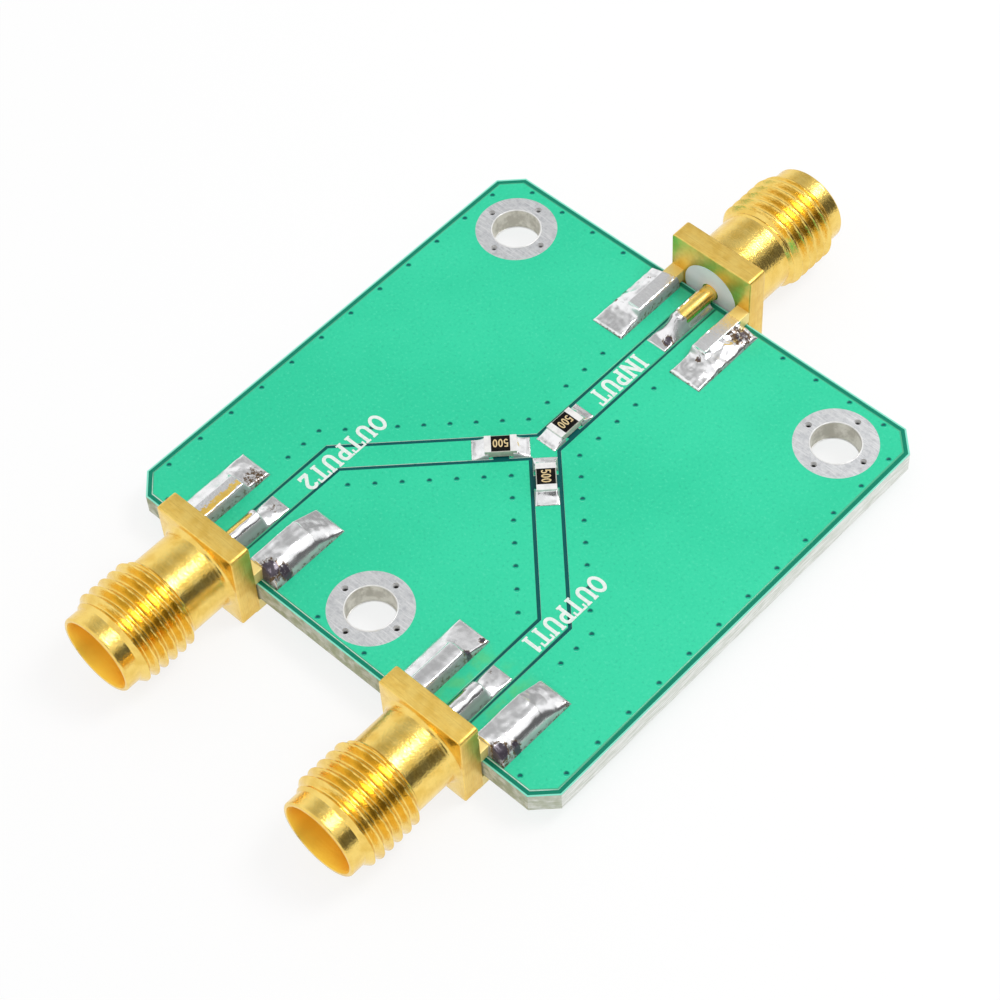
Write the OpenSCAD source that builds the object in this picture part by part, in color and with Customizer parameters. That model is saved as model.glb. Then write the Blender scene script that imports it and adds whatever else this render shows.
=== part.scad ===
// Resistive power splitter: a small circuit board with one input jack, two output jacks and a star of three
// chip resistors. Millimetres, +Z up, +Y towards the input jack, origin under the middle of the part.

/* [Board] */
// Width of the board, across the jack axes
board_w = 34; // [31:0.5:44]
// Length of the board, along the jack axes
board_l = 34; // [33:0.5:48]
// Thickness of the board with the copper on both faces
board_t = 1.6; // [1:0.1:2]
// Thickness of each copper layer with its green mask
copper_t = 0.05; // [0.03:0.01:0.1]
// Leg of the chamfer on each corner of the board
corner_cut = 1.35; // [0.5:0.05:2]
// Bare strip between the copper and the board's edge
pour_inset = 0.45; // [0.2:0.05:0.6]

/* [Mounting holes] */
// Clear diameter of each mounting hole
hole_d = 3.2; // [2.5:0.1:3.4]
// Thickness of the tinned plating inside each hole
plating_t = 0.16; // [0.05:0.01:0.25]
// Outer diameter of the bare ring round each hole
ring_d = 5.3; // [5:0.1:5.6]
// From a side edge to the centre of the hole beside it
hole_side = 3.85; // [3.6:0.05:4.5]
// From the input edge to the centres of the two holes beside it
hole_input_edge = 3.65; // [3.4:0.05:4.5]
// From the output edge to the centre of the hole beside it
hole_output_edge = 3.2; // [3.2:0.05:4]
// Distance of that hole from the centre line
hole_offset = 0.3; // [0:0.05:0.6]

/* [Traces] */
// Width of each signal trace
trace_w = 1.5; // [1.3:0.05:1.8]
// Gap between a trace and the ground copper beside it
trace_gap = 0.25; // [0.15:0.05:0.35]
// From the board's centre to the point where the traces meet, towards the input
star_y = 1.6; // [0.6:0.1:2.4]

/* [Vias] */
// Diameter of each via
via_d = 0.4; // [0.3:0.05:0.5]
// Pitch of the vias along the board's edges
edge_pitch = 2.63; // [2:0.01:3.5]
// From the board's edge to the vias along it
edge_via_inset = 0.7; // [0.65:0.05:0.8]
// Least distance from a corner of the board to the first via along the edge
edge_via_end = 2.5; // [2:0.1:3.5]
// Pitch of the vias beside the traces
stitch_pitch = 1.6; // [1.2:0.05:2.4]
// From a trace's centre line to the vias beside it
stitch_offset = 2.1; // [1.9:0.05:2.3]
// From the ends of the ground pads to the nearest vias beside a trace
stitch_end = 1.6; // [0.8:0.1:2]
// From the middle of a mounting hole to the vias in its ring
ring_via_r = 2.12; // [2.05:0.01:2.15]
// From the output edge's hole to the edge via on each side of it, along the edge
hole_via_side = 1.9; // [1.8:0.05:2.6]

/* [Jacks] */
// Distance of each output jack from the centre line
jack_x = 9.1; // [8.8:0.1:10]
// Side of the square flange
flange_w = 6.35; // [6.2:0.05:6.6]
// Thickness of the flange
flange_t = 1.45; // [1:0.05:2]
// Clearance between the flange and the board's edge
flange_gap = 0.1; // [0.05:0.05:0.3]
// Length of the jack from the back of the flange to the front rim
jack_l = 9.8; // [8.6:0.1:12]
// Diameter of the smooth barrel and of the lead-in ring
barrel_d = 5.4; // [5.1:0.05:5.7]
// Fillet between the flange and the barrel
root_fillet = 0.35; // [0.1:0.05:0.4]
// Outer diameter of the thread
thread_d = 6.35; // [6.1:0.05:6.5]
// Pitch of the thread
thread_pitch = 0.706; // [0.7:0.002:0.9]
// Number of turns of the thread, each one a ring
thread_turns = 6; // [4:1:8]
// Depth of the thread
thread_depth = 0.43; // [0.3:0.01:0.48]
// Width of the thread's crest
thread_crest = 0.1; // [0.05:0.01:0.12]
// Angle between the flanks of the thread, in degrees
thread_angle = 60; // [50:1:62]
// Length of the smooth lead-in ring in front of the thread
lead_l = 1.05; // [0.6:0.05:1.6]
// Chamfer on the outside of the front rim
rim_cut = 0.15; // [0.05:0.05:0.3]
// Diameter of the mating socket
socket_d = 4.6; // [4.4:0.05:4.7]
// Depth of the mating socket
socket_depth = 1.95; // [1.5:0.05:2.5]

/* [Jack insides] */
// Diameter of the insulator
insulator_d = 4.1; // [3.6:0.05:4.2]
// Diameter of the centre contact in the insulator
contact_d = 1.27; // [1.2:0.01:1.5]
// Diameter of the socket in the contact's front end
contact_bore_d = 0.95; // [0.85:0.01:1]
// Depth of that socket
contact_bore_l = 2.9; // [2:0.1:4]
// Width of the slot that splits the contact's front end
contact_slot_w = 0.15; // [0.1:0.01:0.2]
// Length of that slot
contact_slot_l = 2.2; // [1.5:0.1:2.8]
// Diameter of the solder pin
pin_d = 1.1; // [0.9:0.05:1.2]
// Length of the solder pin behind the flange
pin_l = 3.15; // [2.5:0.05:4]

/* [Legs and solder] */
// Width of each leg
leg_w = 1; // [0.8:0.05:1.05]
// Height of each upper leg
leg_h = 1; // [0.8:0.05:1.2]
// Length of each leg behind the flange
leg_l = 4.2; // [3:0.1:5]
// Width of each ground pad
pad_w = 2.4; // [2:0.1:2.8]
// Length of each ground pad from the board's edge
pad_l = 6.1; // [5.8:0.1:6.6]
// Ground pad that shows on the inner side of a leg
pad_margin = 0.2; // [0.1:0.05:0.3]
// Length of the bare signal pad from the board's edge
signal_pad_l = 5.1; // [4.7:0.1:5.6]
// Thickness of the tin on the pads
tin_t = 0.06; // [0.03:0.01:0.1]
// Height of the solder against the legs
leg_solder_h = 0.7; // [0.4:0.05:0.75]
// Height of the solder over the pin's end
pin_solder_h = 0.9; // [0.6:0.05:1]
// Width of the solder's crest on the pin
pin_solder_crest = 0.5; // [0.3:0.05:0.7]
// Length of the pin that is buried in solder
pin_solder_l = 1.7; // [1:0.1:2.4]
// Run of the solder beyond the ends of the legs and the pin
solder_toe = 0.8; // [0.4:0.05:1]

/* [Resistors] */
// Length of a chip resistor
chip_l = 2; // [1.8:0.05:2.2]
// Width of a chip resistor
chip_w = 1.25; // [1.1:0.05:1.3]
// Height of a chip resistor
chip_h = 0.55; // [0.4:0.05:0.7]
// Length of each metal end cap
cap_l = 0.42; // [0.25:0.01:0.55]
// Thickness of the end caps' metal
cap_t = 0.04; // [0.02:0.01:0.06]
// Bare margin beside the black coating
coating_margin = 0.06; // [0.03:0.01:0.12]
// Thickness of the black coating
coating_t = 0.05; // [0.02:0.01:0.08]
// Length over both solder pads of a resistor
chip_pads_l = 3.6; // [3.2:0.1:3.8]
// Break in the copper under a resistor
chip_break = 1; // [0.7:0.05:1.2]
// Height of the solder against a resistor's end
chip_solder_h = 0.35; // [0.15:0.05:0.4]
// From the traces' meeting point to the input resistor
chip_input_r = 1.9; // [1.9:0.05:2.4]
// From the traces' meeting point to each output resistor
chip_output_r = 2.65; // [2.6:0.05:3.2]

/* [Hidden] */
$fn = 64;

// Overrun of a cut past the face that it opens
cut = 0.1;
// Half of the 45 degree turn where traces meet and bend, for mitred corners
mitre = tan(45 / 2);
diagonal = [1, -1] / sqrt(2);
across = [1, 1] / sqrt(2);

// Heights, from the undersides of the flanges up
axis_z = flange_w / 2;
top_z = axis_z - pin_d / 2;
bottom_z = top_z - board_t;
laminate_top = top_z - copper_t;
laminate_bottom = bottom_z + copper_t;

// Places in plan
star = [0, star_y];
bend_y = star_y - jack_x;
jack_back_y = board_l / 2 + flange_gap;
hole_left = [-board_w / 2 + hole_side, board_l / 2 - hole_input_edge];
hole_right = [board_w / 2 - hole_side, board_l / 2 - hole_input_edge];
hole_lower = [hole_offset, -board_l / 2 + hole_output_edge];
holes = [hole_left, hole_right, hole_lower];

// Places across one jack, from its axis
leg_in = flange_w / 2 - leg_w;
leg_out = flange_w / 2;
pad_in = leg_in - pad_margin;
pad_out = pad_in + pad_w;
via_clear = via_d;

// One turn of the thread: its root, and half its width at the crest and at the root
thread_root_r = thread_d / 2 - thread_depth;
crest_half = thread_crest / 2;
root_half = crest_half + thread_depth * tan(thread_angle / 2);

function port_x(port) = port == "input" ? 0 : port == "output_1" ? jack_x : -jack_x;
function port_turn(port) = port == "input" ? 0 : 180;
function port_end(port) = port == "input" ? jack_back_y : -jack_back_y;
function arm_turn(port) = port == "input" ? 90 : port == "output_1" ? -45 : -135;
function chip_r(port) = port == "input" ? chip_input_r : chip_output_r;

// Rows of vias: along the four edges, then beside the traces
function row(length) = let (n = floor((length - 2 * edge_via_end) / edge_pitch))
    [for (i = [0 : n]) (i - n / 2) * edge_pitch];
function off_pads(x, middle) = abs(x - middle) > pad_out + via_clear;
function off_rings(p) = min([for (h = holes) norm(p - h)]) > ring_d / 2 + via_clear;
function mirrored(points) = [for (p = points, side = [-1, 1]) [side * p.x, p.y]];
function line(from, to, first) = let (n = max(1, round(norm(to - from) / stitch_pitch)))
    [for (i = [first : n]) from + (to - from) * i / n];

side_vias = mirrored([for (y = row(board_l)) [board_w / 2 - edge_via_inset, y]]);
input_edge_vias = [for (x = row(board_w)) if (off_pads(x, 0)) [x, board_l / 2 - edge_via_inset]];
output_edge_x = concat(
    [for (x = row(board_w)) if (abs(x) > jack_x && off_pads(abs(x), jack_x)) x],
    [hole_offset - hole_via_side, hole_offset + hole_via_side]
);
output_edge_vias = [for (x = output_edge_x) [x, -board_l / 2 + edge_via_inset]];
pad_line = board_l / 2 - pad_l - stitch_end;
fork_outer = star + stitch_offset * [1, mitre];
fork_inner = star - [0, stitch_offset * sqrt(2)];
bend_outer = [jack_x + stitch_offset, bend_y + stitch_offset * mitre];
bend_inner = [jack_x - stitch_offset, bend_y - stitch_offset * mitre];
trace_vias = concat(
    [fork_inner],
    mirrored(line(fork_outer, [fork_outer.x, pad_line], 1)),
    mirrored(line(fork_outer, bend_outer, 0)),
    mirrored(line(bend_outer, [bend_outer.x, -pad_line], 1)),
    mirrored(line(fork_inner, bend_inner, 1))
);
all_vias = concat(side_vias, input_edge_vias, output_edge_vias, trace_vias);
vias = [for (p = all_vias) if (off_rings(p)) p];

// Frames of the ports and of the resistors
module at_port(port) {
    translate([port_x(port), port_end(port), axis_z])
        rotate(port_turn(port))
            children();
}

module at_chip(port) {
    translate([star.x, star.y, top_z])
        rotate(arm_turn(port))
            translate([chip_r(port), 0, 0])
                children();
}

module turned() {
    rotate([-90, 0, 0])
        children();
}

// Flat outlines of the board and its copper
module chamfered(w, l, c) {
    polygon([
        [-w / 2 + c, -l / 2], [w / 2 - c, -l / 2], [w / 2, -l / 2 + c], [w / 2, l / 2 - c],
        [w / 2 - c, l / 2], [-w / 2 + c, l / 2], [-w / 2, l / 2 - c], [-w / 2, -l / 2 + c]
    ]);
}

module copper_outline() {
    chamfered(board_w - 2 * pour_inset, board_l - 2 * pour_inset, corner_cut - pour_inset * (2 - sqrt(2)));
}

// Strip of one trace, from a distance out of the star to the copper's edge at its jack
module arm(port, w, from) {
    edge_y = board_l / 2 - pour_inset;
    side = port == "output_2" ? -1 : 1;
    if (port == "input") {
        translate([-w / 2, star_y + from])
            square([w, edge_y - star_y - from]);
    } else {
        scale([side, 1])
            polygon([
                star + from * diagonal + w / 2 * across,
                [jack_x + w / 2, bend_y + w / 2 * mitre],
                [jack_x + w / 2, -edge_y],
                [jack_x - w / 2, -edge_y],
                [jack_x - w / 2, bend_y - w / 2 * mitre],
                star + from * diagonal - w / 2 * across
            ]);
    }
}

module via_holes() {
    for (p = vias)
        translate(p)
            circle(d = via_d);
}

// Four open vias in the ring of a mounting hole
module ring_vias() {
    for (turn = [0 : 90 : 270])
        rotate(turn)
            translate([ring_via_r, 0])
                circle(d = via_d);
}

module ring_holes() {
    for (h = holes)
        translate(h)
            circle(d = ring_d);
}

module ground_pour(region) {
    color("mediumseagreen")
        translate([0, 0, laminate_top])
            linear_extrude(copper_t)
                difference() {
                    intersection() {
                        copper_outline();
                        polygon(region);
                    }
                    for (port = ["input", "output_1", "output_2"])
                        arm(port, trace_w + 2 * trace_gap, 0);
                    ring_holes();
                    via_holes();
                }
}

side_region = [
    star, [0, board_l], [board_w, board_l], [board_w, -board_l], [jack_x, -board_l], [jack_x, bend_y]
];
lower_region = [
    star, [jack_x, bend_y], [jack_x, -board_l], [-jack_x, -board_l], [-jack_x, bend_y]
];

module board_laminate() {
    color("darkseagreen")
        translate([0, 0, laminate_bottom])
            linear_extrude(laminate_top - laminate_bottom)
                difference() {
                    chamfered(board_w, board_l, corner_cut);
                    for (h = holes)
                        translate(h) {
                            circle(d = hole_d + 2 * plating_t);
                            ring_vias();
                        }
                }
}

module ground_pour_left() {
    ground_pour([for (p = side_region) [-p.x, p.y]]);
}

module ground_pour_right() {
    ground_pour(side_region);
}

module ground_pour_lower() {
    ground_pour(lower_region);
}

module bottom_ground_plane() {
    color("seagreen")
        translate([0, 0, bottom_z])
            linear_extrude(copper_t)
                difference() {
                    copper_outline();
                    ring_holes();
                    via_holes();
                }
}

module trace(port) {
    color("mediumaquamarine")
        translate([0, 0, laminate_top])
            linear_extrude(copper_t)
                arm(port, trace_w, chip_r(port) + chip_break / 2);
}

module star_junction() {
    color("mediumaquamarine")
        translate([0, 0, laminate_top])
            linear_extrude(copper_t)
                for (port = ["input", "output_1", "output_2"])
                    translate(star)
                        rotate(arm_turn(port))
                            translate([0, -trace_w / 2])
                                square([chip_r(port) - chip_break / 2, trace_w]);
}

// Plated barrel of a mounting hole with a ring on each face and four vias through the rings
module hole_plating(place) {
    color("silver")
        translate([place.x, place.y, 0])
            difference() {
                union() {
                    for (z = [bottom_z, laminate_top])
                        translate([0, 0, z])
                            cylinder(d = ring_d, h = copper_t);
                    translate([0, 0, bottom_z])
                        cylinder(d = hole_d + 2 * plating_t, h = board_t);
                }
                translate([0, 0, bottom_z - cut])
                    linear_extrude(board_t + 2 * cut) {
                        circle(d = hole_d);
                        ring_vias();
                    }
            }
}

// Section of one turn of the thread, with its crest at a distance along the jack
function thread_turn(along) = [
    [thread_root_r, along - root_half], [thread_d / 2, along - crest_half],
    [thread_d / 2, along + crest_half], [thread_root_r, along + root_half]
];

// Outside of the barrel: root fillet, smooth stretch, thread, lead-in ring
module barrel() {
    thread_end = jack_l - lead_l;
    thread_start = thread_end - thread_turns * thread_pitch;
    turned() {
        rotate_extrude()
            polygon(concat(
                [[0, 0], [barrel_d / 2, 0], [barrel_d / 2, thread_start], [thread_root_r, thread_start]],
                [for (i = [0 : thread_turns - 1]) each thread_turn(thread_start + (i + 0.5) * thread_pitch)],
                [[thread_root_r, thread_end], [barrel_d / 2, thread_end], [barrel_d / 2, jack_l - rim_cut]],
                [[barrel_d / 2 - rim_cut, jack_l], [0, jack_l]]
            ));
        translate([0, 0, flange_t])
            rotate_extrude()
                difference() {
                    translate([barrel_d / 2 - cut, -cut])
                        square([root_fillet + cut, root_fillet + cut]);
                    translate([barrel_d / 2 + root_fillet, root_fillet])
                        circle(r = root_fillet);
                }
    }
}

module legs() {
    for (side = [0, 1])
        mirror([side, 0, 0]) {
            translate([leg_in, -leg_l, top_z - axis_z])
                cube([leg_w, leg_l + flange_t / 2, leg_h]);
            translate([leg_in, -leg_l, -axis_z])
                cube([leg_w, leg_l + flange_t / 2, bottom_z]);
        }
}

module jack_body() {
    color("gold")
        difference() {
            union() {
                translate([-flange_w / 2, 0, -flange_w / 2])
                    cube([flange_w, flange_t, flange_w]);
                barrel();
                legs();
            }
            turned() {
                translate([0, 0, -cut])
                    cylinder(d = insulator_d, h = jack_l);
                translate([0, 0, jack_l - socket_depth])
                    cylinder(d = socket_d, h = socket_depth + cut);
            }
        }
}

module jack_insulator() {
    color("whitesmoke")
        turned()
            difference() {
                cylinder(d = insulator_d, h = jack_l - socket_depth);
                translate([0, 0, -cut])
                    cylinder(d = contact_d, h = jack_l);
            }
}

module pin() {
    translate([0, 0, -pin_l])
        cylinder(d = pin_d, h = pin_l + cut);
}

module jack_contact() {
    front = jack_l - socket_depth;
    color("goldenrod")
        turned()
            difference() {
                union() {
                    cylinder(d = contact_d, h = front);
                    pin();
                }
                translate([0, 0, front - contact_bore_l])
                    cylinder(d = contact_bore_d, h = contact_bore_l + cut);
                translate([-contact_d, -contact_slot_w / 2, front - contact_slot_l])
                    cube([2 * contact_d, contact_slot_w, contact_slot_l + cut]);
            }
}

// Solder mound: a section across the jack, cut by a side profile that slopes down to the toe
module mound(section, height, heel, toe, run) {
    intersection() {
        translate([0, -heel, 0])
            rotate([90, 0, 0])
                linear_extrude(toe + run - heel)
                    polygon(section);
        rotate([90, 0, 90])
            translate([0, 0, -pad_out])
                linear_extrude(2 * pad_out)
                    polygon([
                        [-heel, 0], [-toe - run, 0], [-toe - run, tin_t], [-toe, height], [-heel, height]
                    ]);
    }
}

// Tin on one ground pad and round its leg, on the face that lies at height 0
module leg_solder() {
    heel = flange_gap + pour_inset;
    translate([pad_in, -flange_gap - pad_l, 0])
        cube([pad_w, pad_l - pour_inset, tin_t]);
    mound([
        [pad_in, 0], [pad_out, 0], [pad_out, tin_t], [leg_out, leg_solder_h], [leg_in, leg_solder_h],
        [pad_in, tin_t]
    ], leg_solder_h, heel, leg_l, solder_toe);
}

module ground_solder() {
    color("lightgray")
        difference() {
            for (side = [0, 1])
                mirror([side, 0, 0]) {
                    translate([0, 0, top_z - axis_z])
                        leg_solder();
                    translate([0, 0, bottom_z - axis_z])
                        mirror([0, 0, 1])
                            leg_solder();
                }
            legs();
        }
}

module pin_solder() {
    color("lightgray")
        difference() {
            translate([0, 0, top_z - axis_z]) {
                translate([-trace_w / 2, -flange_gap - signal_pad_l, 0])
                    cube([trace_w, signal_pad_l - pour_inset, tin_t]);
                mound([
                    [-trace_w / 2, 0], [trace_w / 2, 0], [trace_w / 2, tin_t],
                    [pin_solder_crest / 2, pin_solder_h], [-pin_solder_crest / 2, pin_solder_h],
                    [-trace_w / 2, tin_t]
                ], pin_solder_h, pin_l - pin_solder_l, pin_l, solder_toe);
            }
            turned()
                pin();
        }
}

// Chip resistor, with its length along the trace and its underside at height 0
module chip_core() {
    translate([-chip_l / 2 + cap_t, -chip_w / 2, cap_t])
        cube([chip_l - 2 * cap_t, chip_w, chip_h - 2 * cap_t]);
}

module resistor_substrate() {
    color("gainsboro")
        chip_core();
}

module resistor_caps() {
    color("white")
        difference() {
            for (side = [0, 1])
                mirror([side, 0, 0])
                    translate([chip_l / 2 - cap_l, -chip_w / 2, 0])
                        cube([cap_l, chip_w, chip_h]);
            chip_core();
        }
}

module resistor_coating() {
    length = chip_l - 2 * cap_l;
    width = chip_w - 2 * coating_margin;
    color("black")
        translate([-length / 2, -width / 2, chip_h - cap_t])
            cube([length, width, coating_t]);
}

module resistor_solder() {
    color("lightgray")
        for (side = [0, 1])
            mirror([side, 0, 0])
                translate([0, trace_w / 2, 0])
                    rotate([90, 0, 0])
                        linear_extrude(trace_w)
                            polygon([
                                [chip_l / 2, 0], [chip_pads_l / 2, 0], [chip_pads_l / 2, tin_t],
                                [chip_l / 2, chip_solder_h]
                            ]);
}

board_laminate();
ground_pour_left();
ground_pour_right();
ground_pour_lower();
bottom_ground_plane();
trace("input");  // input_trace
trace("output_1");  // output_1_trace
trace("output_2");  // output_2_trace
star_junction();
hole_plating(hole_left);  // hole_plating_left
hole_plating(hole_right);  // hole_plating_right
hole_plating(hole_lower);  // hole_plating_lower
at_port("input") jack_body();  // input_jack_body
at_port("input") jack_insulator();  // input_jack_insulator
at_port("input") jack_contact();  // input_jack_contact
at_port("output_1") jack_body();  // output_1_jack_body
at_port("output_1") jack_insulator();  // output_1_jack_insulator
at_port("output_1") jack_contact();  // output_1_jack_contact
at_port("output_2") jack_body();  // output_2_jack_body
at_port("output_2") jack_insulator();  // output_2_jack_insulator
at_port("output_2") jack_contact();  // output_2_jack_contact
at_port("input") ground_solder();  // input_ground_solder
at_port("output_1") ground_solder();  // output_1_ground_solder
at_port("output_2") ground_solder();  // output_2_ground_solder
at_port("input") pin_solder();  // input_pin_solder
at_port("output_1") pin_solder();  // output_1_pin_solder
at_port("output_2") pin_solder();  // output_2_pin_solder
at_chip("input") resistor_substrate();  // input_resistor_substrate
at_chip("output_1") resistor_substrate();  // output_1_resistor_substrate
at_chip("output_2") resistor_substrate();  // output_2_resistor_substrate
at_chip("input") resistor_caps();  // input_resistor_caps
at_chip("output_1") resistor_caps();  // output_1_resistor_caps
at_chip("output_2") resistor_caps();  // output_2_resistor_caps
at_chip("input") resistor_coating();  // input_resistor_coating
at_chip("output_1") resistor_coating();  // output_1_resistor_coating
at_chip("output_2") resistor_coating();  // output_2_resistor_coating
at_chip("input") resistor_solder();  // input_resistor_solder
at_chip("output_1") resistor_solder();  // output_1_resistor_solder
at_chip("output_2") resistor_solder();  // output_2_resistor_solder
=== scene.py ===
"""Looks of the resistive power splitter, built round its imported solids."""
from math import cos, hypot, pi, radians, sin, sqrt, tan
from collections import namedtuple

import bmesh
import bpy
from mathutils import Matrix, Vector, noise


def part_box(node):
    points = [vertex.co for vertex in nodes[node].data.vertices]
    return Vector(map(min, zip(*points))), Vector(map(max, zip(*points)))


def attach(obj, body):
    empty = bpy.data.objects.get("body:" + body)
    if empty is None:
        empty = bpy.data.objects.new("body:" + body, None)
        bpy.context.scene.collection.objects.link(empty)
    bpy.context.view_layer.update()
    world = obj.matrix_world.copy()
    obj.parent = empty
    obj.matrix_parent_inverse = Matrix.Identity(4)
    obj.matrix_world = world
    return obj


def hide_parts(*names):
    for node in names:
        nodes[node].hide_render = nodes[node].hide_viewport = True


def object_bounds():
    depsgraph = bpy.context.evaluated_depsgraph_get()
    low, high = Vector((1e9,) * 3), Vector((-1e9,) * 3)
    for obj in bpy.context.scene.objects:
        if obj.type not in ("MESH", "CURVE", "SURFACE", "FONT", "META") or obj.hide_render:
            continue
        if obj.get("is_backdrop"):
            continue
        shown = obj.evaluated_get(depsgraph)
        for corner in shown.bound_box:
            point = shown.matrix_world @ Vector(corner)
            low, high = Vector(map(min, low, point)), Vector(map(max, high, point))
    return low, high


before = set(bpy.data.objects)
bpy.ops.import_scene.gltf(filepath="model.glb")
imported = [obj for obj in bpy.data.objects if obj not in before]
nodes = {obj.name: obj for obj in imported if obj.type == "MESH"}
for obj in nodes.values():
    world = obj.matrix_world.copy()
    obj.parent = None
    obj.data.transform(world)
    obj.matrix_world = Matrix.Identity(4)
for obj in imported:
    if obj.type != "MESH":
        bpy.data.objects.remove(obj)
cad_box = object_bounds()
scene = bpy.context.scene

# Sizes in millimetres unless a name says otherwise
MM = 0.001
PORTS = ("input", "output_1", "output_2")

# Jack bodies
FLANGE_T = 1.45
EDGE_ROUND = 0.08
FLANGE_CORNER = 0.25
BARREL_R = 2.7
ROOT_FILLET = 0.35
THREAD_PITCH = 0.706
THREAD_L = 6 * THREAD_PITCH
THREAD_DEPTH = 0.43
THREAD_CREST = 0.92
THREAD_HOLLOW = 1.5
LEAD_L = 1.05
RIM_CUT = 0.1
SOCKET_R = 2.3
SOCKET_DEPTH = 1.95
MOUTH_CUT = 0.16
RING_STEPS = 96
CORNER_STEPS = tuple(radians(a) for a in (0.5, 1.1, 1.8, 2.6))
THREAD_STEPS = 22
FILLET_STEPS = 6
LOOP_GAP = 0.02

# Legs, pin and pads of a jack, from its axis and from the back of its flange
LEG_W = 1.0
LEG_H = 1.0
LEG_L = 4.2
LEG_SINK = 0.015
PIN_R = 0.55
PIN_L = 3.15
PAD_MARGIN = 0.2
PAD_W = 2.4
PAD_FROM = 0.55
PAD_TO = 6.2
SIGNAL_W = 1.5
SIGNAL_TO = 5.2
TIN_T = 0.06
TIN_LEAST = 0.015
TIN_FOOT = 0.01
SOLDER_GRID = 0.05

# Chip resistors
CHIP_L = 2.0
CHIP_SOLDER_H = 0.36
CHIP_PADS_L = 3.6
CHIP_UNDER = 0.25
CHIP_GRID = 0.04

# Where the strip without copper, the sawn edge and the outer shoulders of the mask begin, from the middle of
# the board: x or y at its sides, x plus y at its cut corners
STRIP_SIDE = 16.55
STRIP_CORNER = 32.0
EDGE_SIDE = 16.9
EDGE_CORNER = 32.5
SHOULDER_SIDE = 16.4
SHOULDER_CORNER = 31.6
# Widths of the shoulders along the outline and in the gaps
SHOULDER_W = 0.1
SHOULDER_GAP_W = 0.015

# Painted lettering
INK_T = 0.012
INK_STEP = 0.0015
LABEL_H = 1.33

# Points closer than this are one point, and edges that turn by more degrees than this stay sharp
WELD = 0.001
SHARP_FROM = 40

# Least cosine of half a turn at which a mitre is still drawn out
MITRE_LEAST = 0.4


def box_mm(node):
    """Lowest and highest corner of a solid, in millimetres."""
    low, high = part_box(node)
    return low / MM, high / MM


BOARD_TOP = box_mm("ground_pour_left")[1].z
BOARD_BOTTOM = box_mm("bottom_ground_plane")[0].z


class Jack:
    """Frame of one jack, from its solids: x across, y out from the back of the flange, z up from the axis."""

    def __init__(self, port):
        self.port = port
        self.turn = 1 if port == "input" else -1
        low, high = box_mm(f"{port}_jack_body")
        core_low, core_high = box_mm(f"{port}_jack_insulator")
        back, front = (core_low.y, high.y) if self.turn > 0 else (core_high.y, low.y)
        self.half = (high.x - low.x) / 2
        self.length = abs(front - back)
        self.core_r = (core_high.x - core_low.x) / 2
        self.axis_z = (core_low.z + core_high.z) / 2
        self.middle = Vector(((low.x + high.x) / 2, back, self.axis_z))
        self.top = BOARD_TOP - self.axis_z
        self.bottom = BOARD_BOTTOM - self.axis_z
        self.leg_in = self.half - LEG_W
        self.pad_in = self.leg_in - PAD_MARGIN
        self.pad_out = self.pad_in + PAD_W

    def matrix(self):
        return Matrix.Translation(self.middle * MM) @ Matrix.Rotation(0 if self.turn > 0 else pi, 4, "Z")


JACKS = {port: Jack(port) for port in PORTS}


def clamp(value):
    return min(1.0, max(0.0, value))


def smooth(value, low, high):
    """0 below low, 1 above high, and a smooth step between them."""
    t = clamp((value - low) / (high - low))
    return t * t * (3 - 2 * t)


def soft_max(a, b, blend):
    return (a + b + sqrt((a - b) ** 2 + blend ** 2)) / 2


def ripple(x, y, scale, seed):
    return noise.noise(Vector((x * scale, y * scale, seed)))


# Shader helpers

def new_material(name, **sockets):
    material = bpy.data.materials.new(name)
    material.use_nodes = True
    shader = material.node_tree.nodes["Principled BSDF"]
    for socket, value in sockets.items():
        shader.inputs[socket.replace("_", " ")].default_value = value
    return material, material.node_tree, shader


def add_node(tree, kind, inputs=None, **settings):
    node = tree.nodes.new("ShaderNode" + kind)
    for name, value in settings.items():
        setattr(node, name, value)
    for socket, value in (inputs or {}).items():
        if isinstance(value, bpy.types.NodeSocket):
            tree.links.new(value, node.inputs[socket])
        else:
            node.inputs[socket].default_value = value
    return node


def coordinates(tree, stretch=(1, 1, 1)):
    """The piece's own coordinates in millimetres, stretched by axis."""
    place = add_node(tree, "TexCoord").outputs["Object"]
    scale = [s / MM for s in stretch]
    return add_node(tree, "Mapping", {"Vector": place, "Scale": scale}).outputs["Vector"]


def noise_value(tree, scale, detail=3.0, roughness=0.55):
    """Noise over the piece; a scale of three numbers stretches it by axis."""
    stretch, scale = (scale, 1.0) if isinstance(scale, tuple) else ((1, 1, 1), scale)
    inputs = {"Vector": coordinates(tree, stretch), "Scale": scale, "Detail": detail, "Roughness": roughness}
    return add_node(tree, "TexNoise", inputs).outputs[0]


def ramp(tree, value, low, high, start=0.0, end=1.0):
    inputs = {"Value": value, "From Min": low, "From Max": high, "To Min": start, "To Max": end}
    return add_node(tree, "MapRange", inputs, interpolation_type="SMOOTHSTEP").outputs[0]


def maths(tree, operation, a, b=0.0):
    return add_node(tree, "Math", {0: a, 1: b}, operation=operation).outputs[0]


def multiply(tree, a, b):
    return maths(tree, "MULTIPLY", a, b)


def mix(tree, factor, a, b):
    a = a if isinstance(a, bpy.types.NodeSocket) else (*a, 1)
    b = b if isinstance(b, bpy.types.NodeSocket) else (*b, 1)
    return add_node(tree, "Mix", {0: factor, 6: a, 7: b}, data_type="RGBA").outputs[2]


def fade(tree, value, low, high, a, b, share=1.0):
    """Colour a up to low; from high on, colour b to the given share."""
    return mix(tree, ramp(tree, value, low, high, 0.0, share), a, b)


def axis_value(tree, vector, axis):
    return add_node(tree, "SeparateXYZ", {0: vector}).outputs[axis]


def normal_value(tree, axis):
    normal = add_node(tree, "NewGeometry").outputs["Normal"]
    return axis_value(tree, normal, axis)


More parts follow.
